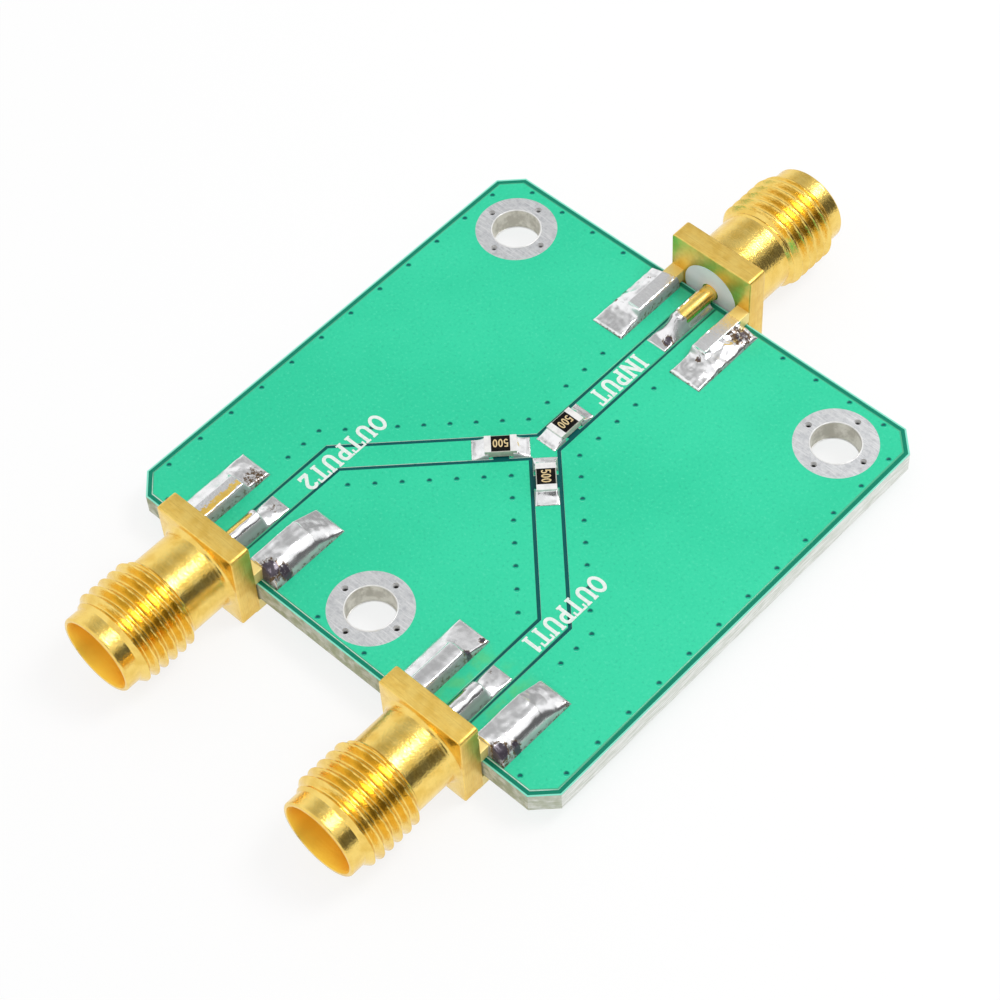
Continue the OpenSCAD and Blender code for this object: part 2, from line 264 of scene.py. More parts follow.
def flat_value(tree):
    """1 on level faces, 0 on upright ones."""
    return maths(tree, "ABSOLUTE", normal_value(tree, "Z"))


def point_value(tree, name):
    """A value that the mesh carries at its points."""
    return add_node(tree, "Attribute", attribute_name=name).outputs["Fac"]


def bump(shader, height, depth, strength):
    """Relief of the given depth in millimetres."""
    inputs = {"Height": height, "Distance": depth * MM, "Strength": strength}
    link(add_node(shader.id_data, "Bump", inputs).outputs[0], shader, "Normal")


def link(value, shader, socket):
    shader.id_data.links.new(value, shader.inputs[socket])


# Colours, as linear values
GOLD = (0.95, 0.69, 0.19)
GOLD_DEEP = (0.86, 0.57, 0.12)
# Richer, brighter gold inside the socket: painted light bounced between its walls
GOLD_INSIDE_BOUNCE = (1.0, 0.62, 0.07)
# Pale gold at the legs' roots: painted light
GOLD_ROOT_LIGHT = (1.0, 0.80, 0.30)
GOLD_BRUSHED = (0.60, 0.36, 0.07)
GOLD_SPECK = (0.32, 0.17, 0.03)
GOLD_FLUX = (0.20, 0.10, 0.03)
TIN = (0.93, 0.93, 0.94)
TIN_DULL = (0.76, 0.76, 0.77)
# Darker tin on steep sides: painted shade
TIN_STEEP_SHADE = (0.22, 0.22, 0.24)
FLUX = (0.12, 0.07, 0.03)
SCORCH = (0.075, 0.06, 0.08)
MASK = (0.013, 0.63, 0.345)
MASK_LIGHT = (0.024, 0.69, 0.385)
MASK_STRIP = (0.002, 0.23, 0.14)
MASK_GAP = (0.001, 0.10, 0.10)
MASK_EDGE = (0.26, 0.80, 0.62)
MASK_GLINT = (0.70, 0.93, 0.82)
MASK_THIN = (0.05, 0.44, 0.24)
MASK_SPECK = (0.08, 0.74, 0.47)
MASK_PIT = (0.006, 0.46, 0.25)
STAIN = (0.16, 0.60, 0.12)
# Painted shade deep in a ring's via, and painted light on its wall near the top
VIA_WALL_SHADE = (0.03, 0.025, 0.02)
VIA_WALL_LIT = (0.95, 0.95, 0.95)
VIA_RIM = (0.010, 0.55, 0.31)
# Dark middle of a via's dimple: painted shade
VIA_FLOOR_SHADE = (0.002, 0.12, 0.11)
VIA_GLINT = (0.28, 0.86, 0.68)
FIBRE = (0.66, 0.69, 0.63)
FIBRE_LIGHT = (0.92, 0.93, 0.91)
# Olive tone on the sawn edges that face -y: painted shade
FIBRE_FRONT_SHADE = (0.34, 0.39, 0.22)
RING = (0.70, 0.71, 0.72)
RING_DULL = (0.50, 0.51, 0.53)
RING_SCUFF = (0.84, 0.84, 0.85)
BARREL = (0.74, 0.72, 0.64)
BARREL_DULL = (0.50, 0.48, 0.41)

# Flux stains beside output_1: distance from its axis and place along y between which they fade in
STAIN_ASIDE = (2.4, 1.6)
STAIN_ALONG = (-10.6, -12.2)
# Depths in a ring's via between which the painted light on its wall turns to painted shade
VIA_LIT = (0.4, 0.28)


def gold_material():
    """Gold plate on turned brass: fine turning lines, a brushed flange, tinned leg ends, a few stains,
    painted light inside the socket and on the legs' roots.
    """
    material, tree, shader = new_material("gold_plate")
    place = coordinates(tree)
    lines = noise_value(tree, (0.5, 9, 0.5), 5.0, 0.7)
    cloud = noise_value(tree, 1.1, 4.0)
    y = axis_value(tree, place, "Y")
    turned = ramp(tree, y, FLANGE_T - 0.2, FLANGE_T + 0.1)
    colour = fade(tree, cloud, 0.35, 0.7, GOLD, GOLD_DEEP)
    brush = noise_value(tree, (0.7, 24, 0.7), 4.0, 0.7)
    brushed = ramp(tree, turned, 0, 1, 0.45, 0.1)
    brushed = multiply(tree, brushed, ramp(tree, brush, 0.45, 0.7))
    colour = mix(tree, brushed, colour, GOLD_BRUSHED)
    speck = noise_value(tree, 5.0, 5.0, 0.7)
    colour = fade(tree, speck, 0.70, 0.78, colour, GOLD_SPECK)
    # Inside the socket the gold turns richer and brighter: painted light bounced between the socket's walls.
    across = add_node(tree, "VectorMath", {0: place, 1: (1, 0, 1)}, operation="MULTIPLY").outputs[0]
    radius = add_node(tree, "VectorMath", {0: across}, operation="LENGTH").outputs["Value"]
    inside = maths(tree, "LESS_THAN", radius, SOCKET_R + MOUTH_CUT - LOOP_GAP)
    inside = multiply(tree, inside, turned)
    colour = mix(tree, inside, colour, GOLD_INSIDE_BOUNCE)
    leg = point_value(tree, "leg")
    dipped = maths(tree, "ADD", y, multiply(tree, cloud, 0.9))
    dipped = ramp(tree, dipped, -0.55, -0.3, 1.0, 0.0)
    covered = maths(tree, "ADD", leg, ramp(tree, speck, 0.3, 0.7, -0.15, 0.15))
    tinned = multiply(tree, dipped, ramp(tree, covered, 0.55, 0.7))
    colour = mix(tree, tinned, colour, TIN)
    # Pale, less metallic gold where the legs leave the flange: painted light on roots that the flange shades.
    root = multiply(tree, ramp(tree, leg, 0.1, 0.25), ramp(tree, dipped, 0, 1, 1.0, 0.0))
    link(mix(tree, root, colour, GOLD_ROOT_LIGHT), shader, "Base Color")
    link(ramp(tree, root, 0, 1, 1.0, 0.45), shader, "Metallic")
    rough = ramp(tree, turned, 0, 1, 0.4, 0.13)
    rough = maths(tree, "SUBTRACT", rough, multiply(tree, tinned, 0.22))
    rough = maths(tree, "MAXIMUM", rough, multiply(tree, inside, 0.5))
    rough = maths(tree, "ADD", rough, ramp(tree, lines, 0.3, 0.8, -0.05, 0.1))
    link(rough, shader, "Roughness")
    grain = noise_value(tree, 6.0, 3.0, 0.65)
    relief = maths(tree, "ADD", lines, multiply(tree, grain, 1.4))
    bump(shader, relief, 0.012, 0.9)
    return material


def contact_material():
    """Gold plate of the centre contact, with flux marks towards the end of its pin."""
    material, tree, shader = new_material("contact_gold", Metallic=1.0)
    cloud = noise_value(tree, 2.2, 4.0)
    lines = noise_value(tree, (1, 30, 1), 3.0)
    colour = fade(tree, cloud, 0.4, 0.7, GOLD, GOLD_DEEP)
    colour = fade(tree, cloud, 0.66, 0.74, colour, GOLD_FLUX)
    link(colour, shader, "Base Color")
    link(ramp(tree, lines, 0.3, 0.8, 0.16, 0.32), shader, "Roughness")
    bump(shader, lines, 0.004, 0.6)
    return material


def solder_material():
    """Bright hand-laid solder: dull in patches, with painted shade on steep sides, burnt where the burn value
    is high.
    """
    material, tree, shader = new_material("solder", Metallic=1.0)
    cloud = noise_value(tree, 0.9, 4.0)
    fine = noise_value(tree, 4.5, 5.0, 0.7)
    grain = noise_value(tree, 16.0, 3.0, 0.6)
    burn = point_value(tree, "burn")
    burnt = maths(tree, "ADD", burn, ramp(tree, fine, 0.3, 0.7, -0.45, 0.35))
    burnt = ramp(tree, burnt, 0.35, 0.75)
    colour = fade(tree, cloud, 0.42, 0.68, TIN, TIN_DULL)
    flat = flat_value(tree)
    # Steep sides turn darker: painted shade.
    colour = fade(tree, flat, 0.7, 0.2, colour, TIN_STEEP_SHADE, 0.75)
    flux = fade(tree, burn, 0.72, 0.84, FLUX, SCORCH)
    link(mix(tree, burnt, colour, flux), shader, "Base Color")
    bright = multiply(tree, ramp(tree, burnt, 0, 1, 1.0, 0.35), ramp(tree, flat, 0.2, 0.7, 0.25, 1.0))
    link(bright, shader, "Metallic")
    rough = ramp(tree, cloud, 0.35, 0.7, 0.1, 0.24)
    rough = maths(tree, "ADD", rough, ramp(tree, flat, 0.2, 0.75, 0.35, 0.0))
    link(rough, shader, "Roughness")
    relief = maths(tree, "ADD", fine, multiply(tree, grain, 0.2))
    bump(shader, relief, 0.02, 0.35)
    return material


def mask_material():
    """Green solder mask over copper: fine speckle, slow shifts of tone, flux stains beside output_1."""
    material, tree, shader = new_material("solder_mask", Roughness=0.34, Specular_IOR_Level=0.5)
    place = coordinates(tree)
    cloud = noise_value(tree, 0.09, 3.0)
    speck = noise_value(tree, 5.0, 4.0, 0.7)
    colour = fade(tree, cloud, 0.3, 0.7, MASK, MASK_LIGHT)
    colour = fade(tree, speck, 0.52, 0.75, colour, MASK_SPECK, 0.6)
    colour = fade(tree, speck, 0.47, 0.27, colour, MASK_PIT, 0.5)
    stain = noise_value(tree, 0.8, 4.0)
    stain = ramp(tree, stain, 0.42, 0.65, 0.0, 0.4)
    aside = maths(tree, "SUBTRACT", axis_value(tree, place, "X"), JACKS["output_1"].middle.x)
    beside = ramp(tree, maths(tree, "ABSOLUTE", aside), *STAIN_ASIDE)
    near = ramp(tree, axis_value(tree, place, "Y"), *STAIN_ALONG)
    stained = multiply(tree, multiply(tree, beside, near), stain)
    link(mix(tree, stained, colour, STAIN), shader, "Base Color")
    bump(shader, speck, 0.012, 0.25)
    return material


def shoulder_material():
    """Thin mask on the copper's rounded edges: a pale glint along the front ones, drab along the others."""
    material, tree, shader = new_material("mask_shoulder", Roughness=0.25)
    front = ramp(tree, normal_value(tree, "Y"), -0.15, -0.45)
    speck = noise_value(tree, 2.5, 4.0)
    front = multiply(tree, front, ramp(tree, speck, 0.3, 0.5, 0.6, 1.0))
    link(mix(tree, front, MASK_THIN, MASK_GLINT), shader, "Base Color")
    return material


def laminate_material():
    """Board core: masked on its faces, dark between the traces, bare glass fibre on its sawn edges, with
    painted shade on the sawn edges that face -y and painted light turning to painted shade down the walls of
    the ring's vias.
    """
    material, tree, shader = new_material("laminate", Specular_IOR_Level=0.2)
    place = coordinates(tree)
    x = maths(tree, "ABSOLUTE", axis_value(tree, place, "X"))
    y = maths(tree, "ABSOLUTE", axis_value(tree, place, "Y"))
    side = maths(tree, "MAXIMUM", x, y)
    corner = maths(tree, "ADD", x, y)

    def beyond(side_from, corner_from):
        past_side = maths(tree, "GREATER_THAN", side, side_from)
        return maths(tree, "MAXIMUM", past_side, maths(tree, "GREATER_THAN", corner, corner_from))

    face = ramp(tree, flat_value(tree), 0.75, 0.95)
    layers = noise_value(tree, (0.8, 0.8, 9), 4.0)
    fibre = fade(tree, layers, 0.35, 0.65, FIBRE, FIBRE_LIGHT)
    # Sawn edges that face -y turn darker and olive in mottled patches: painted shade.
    front_shade_mottle = noise_value(tree, 1.6, 4.0)
    stained = ramp(tree, normal_value(tree, "Y"), -0.4, -0.9, 0.1, 0.85)
    stained = multiply(tree, stained, ramp(tree, front_shade_mottle, 0.35, 0.65, 0.35, 1.0))
    fibre = mix(tree, stained, fibre, FIBRE_FRONT_SHADE)
    outside = beyond(EDGE_SIDE, EDGE_CORNER)
    # Walls of the ring's vias: painted light near the top, painted shade deeper down.
    lit = ramp(tree, axis_value(tree, place, "Z"), *(BOARD_TOP - depth for depth in VIA_LIT))
    plate = mix(tree, lit, VIA_WALL_SHADE, VIA_WALL_LIT)
    wall = mix(tree, outside, plate, fibre)
    masked = mix(tree, beyond(STRIP_SIDE, STRIP_CORNER), MASK_GAP, MASK_STRIP)
    masked = mix(tree, outside, masked, MASK_EDGE)
    link(mix(tree, face, wall, masked), shader, "Base Color")
    link(ramp(tree, face, 0, 1, 0.6, 0.34), shader, "Roughness")
    bump(shader, layers, 0.02, 0.5)
    return material


def plating_material():
    """Tinned ring of a mounting hole: matt, mottled and scuffed, with a darker, blotched barrel."""
    material, tree, shader = new_material("hole_plating", Metallic=0.7)
    mottle = noise_value(tree, 2.6, 6.0, 0.7)
    scuff = noise_value(tree, (0.7, 9, 1), 4.0, 0.7)
    blotch = noise_value(tree, (1.3, 1.3, 1.0), 5.0, 0.6)
    barrel = fade(tree, blotch, 0.4, 0.62, BARREL, BARREL_DULL)
    ring = fade(tree, mottle, 0.35, 0.7, RING, RING_DULL)
    ring = fade(tree, scuff, 0.48, 0.68, ring, RING_SCUFF, 0.8)
    link(fade(tree, flat_value(tree), 0.4, 0.8, barrel, ring), shader, "Base Color")
    link(ramp(tree, mottle, 0.3, 0.7, 0.38, 0.55), shader, "Roughness")
    bump(shader, mottle, 0.02, 0.5)
    return material


def clouded_material(name, colour, shade, scale, roughness, metallic=0.0, specular=0.5):
    """A plain solid such as ceramic, plated caps or the insulator, clouded from one tone to another."""
    finish = {"Metallic": metallic, "Roughness": roughness, "Specular_IOR_Level": specular}
    material, tree, shader = new_material(name, **finish)
    cloud = noise_value(tree, scale, 4.0)
    link(fade(tree, cloud, 0.35, 0.7, colour, shade), shader, "Base Color")
    bump(shader, cloud, 0.01, 0.4)
    return material


def via_material():
    """A masked via's dimple: painted shade on one side of its middle and towards its floor, with a painted
    pale crescent on the other side.
    """
    material, tree, shader = new_material("mask_via", Roughness=0.3, Specular_IOR_Level=0.2)
    # The depth value carries painted shade along with the depth into the dimple.
    depth = point_value(tree, "depth")
    colour = fade(tree, depth, 0.2, 0.75, VIA_RIM, VIA_FLOOR_SHADE)
    speck = noise_value(tree, 6.0)
    pale = multiply(tree, ramp(tree, depth, -0.1, -0.5), ramp(tree, speck, 0.3, 0.6, 0.5, 1.0))
    link(mix(tree, pale, colour, VIA_GLINT), shader, "Base Color")
    return material


GOLD_PLATE = gold_material()
CONTACT = contact_material()
SOLDER = solder_material()
MASKED = mask_material()
LAMINATE = laminate_material()
PLATING = plating_material()
VIA = via_material()
SHOULDER = shoulder_material()
INSULATOR = clouded_material("insulator", (0.95, 0.93, 0.96), (0.89, 0.87, 0.91), 0.8, 0.5)
CERAMIC = clouded_material("ceramic", (0.56, 0.56, 0.48), (0.42, 0.43, 0.36), 3.0, 0.6)
CAPS = clouded_material("cap_metal", (0.96, 0.95, 0.93), (0.82, 0.81, 0.80), 2.2, 0.35, 0.2)
COATING = clouded_material("black_coating", (0.004, 0.003, 0.003), (0.009, 0.007, 0.006), 4.0, 0.35,
                           specular=0.12)
LIP = clouded_material("hole_lip", (0.95, 0.95, 0.94), (0.80, 0.80, 0.79), 1.5, 0.3, 0.3)
LABEL_INK = clouded_material("label_ink", (0.86, 0.92, 0.88), (0.70, 0.82, 0.76), 5.0, 0.6)
DIGIT_INK = clouded_material("digit_ink", (0.80, 0.62, 0.33), (0.62, 0.45, 0.20), 6.0, 0.6)


# Mesh helpers

def make_piece(name, builder, matrix, material, replaced=(), sharp_from=SHARP_FROM):
    """A piece from a bmesh in millimetres, placed by a matrix, shaded smooth between its sharp edges."""
    mesh = bpy.data.meshes.new(name)
    bmesh.ops.recalc_face_normals(builder, faces=builder.faces[:])
    builder.to_mesh(mesh)
    builder.free()
    mesh.transform(Matrix.Scale(MM, 4))
    mesh.shade_smooth()
    mesh.set_sharp_from_angle(angle=radians(sharp_from))
    mesh.materials.append(material)
    piece = bpy.data.objects.new(name, mesh)
    piece.matrix_world = matrix
    scene.collection.objects.link(piece)
    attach(piece, "root")
    if replaced:
        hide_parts(*replaced)
    return piece


def join_rings(builder, a, b):
    for k in range(len(a)):
        n = (k + 1) % len(a)
        builder.faces.new((a[k], a[n], b[n], b[k]))


def add_loops(builder, loops):
    """Quads between successive loops of points, and from the last loop to the first."""
    rows = [[builder.verts.new(point) for point in loop] for loop in loops]
    for a, b in zip(rows, rows[1:] + rows[:1]):
        join_rings(builder, a, b)
    return rows


def add_rounded_box(builder, low, high, radius):
    low, high = Vector(low), Vector(high)
    place = Matrix.Translation((low + high) / 2) @ Matrix.Diagonal((*(high - low), 1))
    made = bmesh.ops.create_cube(builder, size=1, matrix=place)
    edges = list({edge for vert in made["verts"] for edge in vert.link_edges})
    bmesh.ops.bevel(builder, geom=edges, offset=radius, segments=2, profile=0.5, affect="EDGES")


def even_angles(count):
    return [2 * pi * k / count for k in range(count)]


def ring_points(x, y, radius, z, angles):
    return [(x + radius * cos(a), y + radius * sin(a), z) for a in angles]


def steps(low, high, spacing):
    count = max(2, round((high - low) / spacing))
    return [low + (high - low) * k / count for k in range(count + 1)]


def add_height_field(builder, xs, ys, height, base, up, burn):
    """A closed mound on a flat base: a grid of heights, straight sides and one flat underside."""
    layer = builder.verts.layers.float.get("burn") or builder.verts.layers.float.new("burn")
    grid = []
    for y in ys:
        row = []
        for x in xs:
            vert = builder.verts.new((x, y, base + up * height(x, y)))
            vert[layer] = burn(x, y)
            row.append(vert)
        grid.append(row)
    for a, b in zip(grid, grid[1:]):
        for k in range(len(xs) - 1):
            builder.faces.new((a[k], a[k + 1], b[k + 1], b[k]))
    rim = grid[0][:-1] + [row[-1] for row in grid[:-1]] + grid[-1][:0:-1] + [row[0] for row in grid[:0:-1]]
    foot = [builder.verts.new((v.co.x, v.co.y, base)) for v in rim]
    join_rings(builder, rim, foot)
    builder.faces.new(foot)


def edge_gap(x, y, low, high):
    """Distance from the outline of a rectangle, inside it."""
    return min(x - low[0], high[0] - x, y - low[1], high[1] - y)


def edge_fade(x, y, low, high, width):
    """1 inside a rectangle, rolling off to 0 at its outline."""
    t = clamp(edge_gap(x, y, low, high) / width)
    return sqrt(t * (2 - t))


def dress(node, material, bevel=0.0):
    """Gives a solid its finish and, where asked, softened edges."""
    piece = nodes[node]
    piece.data.materials.clear()
    piece.data.materials.append(material)
    if bevel:
        weld = piece.modifiers.new("weld", "WELD")
        weld.merge_threshold = WELD * MM
        edge = piece.modifiers.new("soft_edges", "BEVEL")
        edge.width = bevel * MM
        edge.segments = 2
        edge.limit_method = "ANGLE"
        edge.angle_limit = radians(SHARP_FROM)
        edge.harden_normals = True


# Jack bodies

def square_radius(angle, half, corner):
    """Distance from the axis to a rounded square, along an angle."""
    lean = abs((angle + pi / 4) % (pi / 2) - pi / 4)
    if half * tan(lean) <= half - corner:
        return half / cos(lean)
    reach = (half - corner) * sqrt(2)
    off = pi / 4 - lean
    return reach * cos(off) + sqrt(max(0.0, corner ** 2 - (reach * sin(off)) ** 2))


def thread_height(phase):
    """Thread with rounded roots and narrow crests: 0 at the root, 1 at the crest."""
    triangle = 1 - abs(2 * (phase % 1) - 1)
    return clamp(triangle / THREAD_CREST) ** THREAD_HOLLOW


def jack_sections(jack):
    """Sections of the body from the back of the flange round the outside and back through the bore."""
    half = jack.half

    def square(cut):
        return lambda angle: square_radius(angle, half - cut, FLANGE_CORNER - cut)

    def circle(radius):
        return lambda angle: radius

    sections = [(0, circle(jack.core_r)), (0, square(EDGE_ROUND))]
    turns = [radians(a) for a in (0, 30, 60, 90)]
    edge = [(EDGE_ROUND * (1 - cos(a)), square(EDGE_ROUND * (1 - sin(a)))) for a in turns]
    sections += edge[1:] + [(FLANGE_T - drop, outline) for drop, outline in edge[::-1]]
    for k in range(FILLET_STEPS + 1):
        turn = pi / 2 * k / FILLET_STEPS
        radius = BARREL_R + ROOT_FILLET * (1 - sin(turn))
        sections.append((FLANGE_T + ROOT_FILLET * (1 - cos(turn)), circle(radius)))
    # The thread runs from start to end
    end = jack.length - LEAD_L
    start = end - THREAD_L
    root = half - THREAD_DEPTH
    sections.append((start - LOOP_GAP, circle(BARREL_R)))

    def thread(y):
        limit = BARREL_R + min(y - start, end - y)

        def radius(angle):
            height = thread_height(y / THREAD_PITCH + angle / (2 * pi))
            return max(BARREL_R, min(root + THREAD_DEPTH * height, limit))

        return radius

    sections += [(y, thread(y)) for y in steps(start, end, THREAD_PITCH / THREAD_STEPS)]
    rim = jack.length - RIM_CUT
    middle = end + LEAD_L / 2
    lead = (end + LOOP_GAP, end + 3 * LOOP_GAP, middle, rim - 1.5 * LOOP_GAP, rim)
    sections += [(y, circle(BARREL_R)) for y in lead]
    sections += [(jack.length - 0.4 * RIM_CUT, circle(BARREL_R - 0.4 * RIM_CUT))]
    sections += [(jack.length, circle(BARREL_R - RIM_CUT)), (jack.length, circle(SOCKET_R + MOUTH_CUT))]
    bottom = jack.length - SOCKET_DEPTH
    sections += [(jack.length - 1.5 * MOUTH_CUT, circle(SOCKET_R)), (bottom, circle(SOCKET_R))]
    sections += [(bottom, circle(jack.core_r))]
    return sections


def ring_angles():
    """Even steps round the axis, with closer ones at the flange's corners."""
    corners = [pi / 4 + pi / 2 * k + side * step
               for k in range(4) for side in (-1, 1) for step in CORNER_STEPS]
    return sorted(even_angles(RING_STEPS) + corners)


# Upper legs whose gold still shows on their inner half, by jack and side
BARE_LEGS = {("output_2", -1)}
BARE_INNER = 0.3


def build_jack_body(jack):
    builder = bmesh.new()
    leg = builder.verts.layers.float.new("leg")
    angles = ring_angles()
    loops = []
    for y, radius in jack_sections(jack):
        loop = []
        for angle in angles:
            r = radius(angle)
            loop.append((r * cos(angle), y, r * sin(angle)))
        loops.append(loop)
    add_loops(builder, loops)
    for side in (-1, 1):
        local = side * jack.turn
        x_low, x_high = sorted((local * jack.leg_in, local * (jack.half - LEG_SINK)))
        for z_low, z_high in ((jack.top, jack.top + LEG_H), (-jack.axis_z + LEG_SINK, jack.bottom)):
            present = set(builder.verts)
            add_rounded_box(builder, (x_low, -LEG_L, z_low), (x_high, FLANGE_T / 4, z_high), EDGE_ROUND)
            bare = z_low == jack.top and (jack.port, side) in BARE_LEGS
            for vert in set(builder.verts) - present:
                inner = abs(vert.co.x) < jack.half - LEG_W / 2
                vert[leg] = BARE_INNER if bare and inner else 1.0
    name = f"{jack.port}_threaded_body"
    piece = make_piece(name, builder, jack.matrix(), GOLD_PLATE, [f"{jack.port}_jack_body"])
    weighted = piece.modifiers.new("flat_faces", "WEIGHTED_NORMAL")
    weighted.keep_sharp = True


# Solder on the pads

# How a ground pad was soldered: rise beside the leg, at its end and at the pad's end, skin over the leg
# (None if it is bare), ripples and burnt spots (out from the axis, back from the flange, radius, strength)
PadLook = namedtuple("PadLook", "climb end tip skin ripple spots", defaults=((),))
PAD_LOOKS = {
    ("input", -1): PadLook(0.6, 0.5, 0.08, None, 0.09,
                           [(4.25, 3.3, 0.25, 0.8), (4.2, 4.2, 0.2, 0.7), (3.7, 1.5, 0.2, 0.6)]),
    ("input", 1): PadLook(0.28, 0.42, 0.12, None, 0.1,
                          [(3.75, 1.4, 1.0, 0.8), (2.9, 4.5, 0.3, 0.8), (4.25, 3.4, 0.2, 0.6)]),
    ("output_1", -1): PadLook(0.6, 0.55, 0.12, 0.07, 0.04, [(2.15, 4.5, 0.4, 1.0), (2.3, 5.9, 0.3, 0.9)]),
    ("output_1", 1): PadLook(1.0, 1.1, 0.3, 0.12, 0.055,
                             [(3.8, 0.9, 0.75, 1.0), (4.2, 1.8, 0.45, 1.0), (4.2, 6.0, 0.3, 0.8)]),
    ("output_2", -1): PadLook(0.7, 0.4, 0.1, None, 0.06, [(2.4, 5.3, 1.0, 0.7), (3.0, 2.2, 0.35, 0.5)]),
    ("output_2", 1): PadLook(1.0, 1.08, 0.25, 0.12, 0.055, [(3.5, 1.0, 0.85, 1.0), (4.1, 1.6, 0.6, 1.0)]),
}
PLAIN_PAD = PadLook(0.7, 0.5, 0.06, None, 0.03)
END_REACH = 1.95
END_ROUND = 0.45
INNER_CLIMB = 0.95
WRINKLE = 0.07
FULL_FALL = 0.72
SEAM_ROUND = 0.2
PAD_ROLL = 0.2
PAD_RIM = (0.5, 0.14)
SMOOTH_ALL = 180


def burn_field(low, high, rim, spots):
    """How burnt a pad is: along its outline, by rim's strength and width, and round its spots."""
    rim_strength, rim_w = rim

    def burn(x, y):
        value = rim_strength * (1 - smooth(edge_gap(x, y, low, high), 0.02, rim_w))
        for spot_x, spot_back, radius, strength in spots:
            gap = hypot(x - spot_x, y + spot_back)
            value = max(value, strength * (1 - smooth(gap, 0.3 * radius, 1.2 * radius)))
        return value

    return burn


def ground_mound(jack, look, seed):
    """Heights and burnt spots of one ground pad; x runs outward from the jack's axis."""
    low, high = (jack.pad_in, -PAD_TO), (jack.pad_out, -PAD_FROM)
    burn = burn_field(low, high, PAD_RIM, look.spots)

    def height(x, y):
        beside = x - jack.half
        inside = jack.leg_in - x
        beyond = max(0.0, -y - LEG_L)
        outer = clamp(beside / (jack.pad_out - jack.half))
        inner = clamp(inside / PAD_MARGIN)
        fullness = smooth(look.climb, 0.6, 1.0) if look.skin else 0.0
        slope = (1 - clamp(beyond / END_REACH)) ** (1.3 - 0.3 * fullness)
        side = (1 - outer ** 2) ** (1 - 0.3 * fullness)
        toe = TIN_T + (look.tip - TIN_T + (look.end - look.tip) * slope) * side
        rounded = (1 - smooth(beyond, 0.0, END_ROUND)) * sqrt(1 - inner ** 2)
        if look.skin is None:
            climb = INNER_CLIMB + (look.climb - INNER_CLIMB) * smooth(x, jack.leg_in, jack.half)
            flank = TIN_T + (climb - TIN_T) * (1 - outer) ** 1.3 * rounded
        else:
            crown = clamp(abs(x - jack.half + LEG_W / 2) / (LEG_W / 2))
            covered = LEG_H + look.skin * (1 - 0.85 * crown ** 2)
            full = covered * (1 - FULL_FALL * outer ** 1.15)
            hollow = max(look.climb * (1 - outer) ** 1.3, covered * (1 - smooth(outer, 0.0, 0.4)))
            flank = (full * fullness + hollow * (1 - fullness)) * rounded
        seam = SEAM_ROUND * (1 - 0.75 * fullness)
        mound = soft_max(flank, toe * sqrt(1 - inner ** 2), seam)
        wave = ripple(x, y, 0.9, seed) + 0.5 * ripple(x, y, 2.4, seed + 5)
        mound += (look.ripple + WRINKLE * burn(x, y)) * wave
        return max(TIN_LEAST, mound) * edge_fade(x, y, low, high, PAD_ROLL) + TIN_FOOT

    return height, burn


def make_solder(port, kind, solid, builder, matrix):
    make_piece(f"{port}_{kind}", builder, matrix, SOLDER, [f"{port}_{solid}"], SMOOTH_ALL)


def build_ground_solder(jack):
    builder = bmesh.new()
    ys = steps(-PAD_TO, -PAD_FROM, SOLDER_GRID)
    xs = steps(jack.pad_in, jack.pad_out, SOLDER_GRID)
    for side in (-1, 1):
        local = side * jack.turn
        seed = 11 * PORTS.index(jack.port) + 3 * side
        sided = [local * x for x in xs]
        for base, up, look in ((jack.top, 1, PAD_LOOKS[jack.port, side]), (jack.bottom, -1, PLAIN_PAD)):
            height, burn = ground_mound(jack, look, seed + up)
            add_height_field(builder, sided, ys, lambda x, y: height(abs(x), y), base, up,
                             lambda x, y: burn(abs(x), y))
    make_solder(jack.port, "ground_joints", "ground_solder", builder, jack.matrix())


# How a pin was soldered: how far back it stays bare, the side and distance across it from which tin covers
# it, the length of the mound past its end, and a burnt spot (across, back, radius, strength)
PinLook = namedtuple("PinLook", "bare_to wet_side wet_from toe spot")
PIN_LOOKS = {
    "input": PinLook(2.75, -1, 0.3, 1.7, (0.4, 4.5, 0.45, 1.0)),
    "output_1": PinLook(2.3, 1, -0.35, 0.6, (-0.5, 4.6, 0.2, 0.7)),
    "output_2": PinLook(2.9, 1, -0.05, 0.5, (0.0, 4.6, 0.6, 0.5)),
}
PIN_SKIN = 0.07
PIN_SINK = 0.25
PIN_FILLET_IN = 0.45
PIN_ROLL = 0.12
PIN_RIM = (0.4, 0.12)


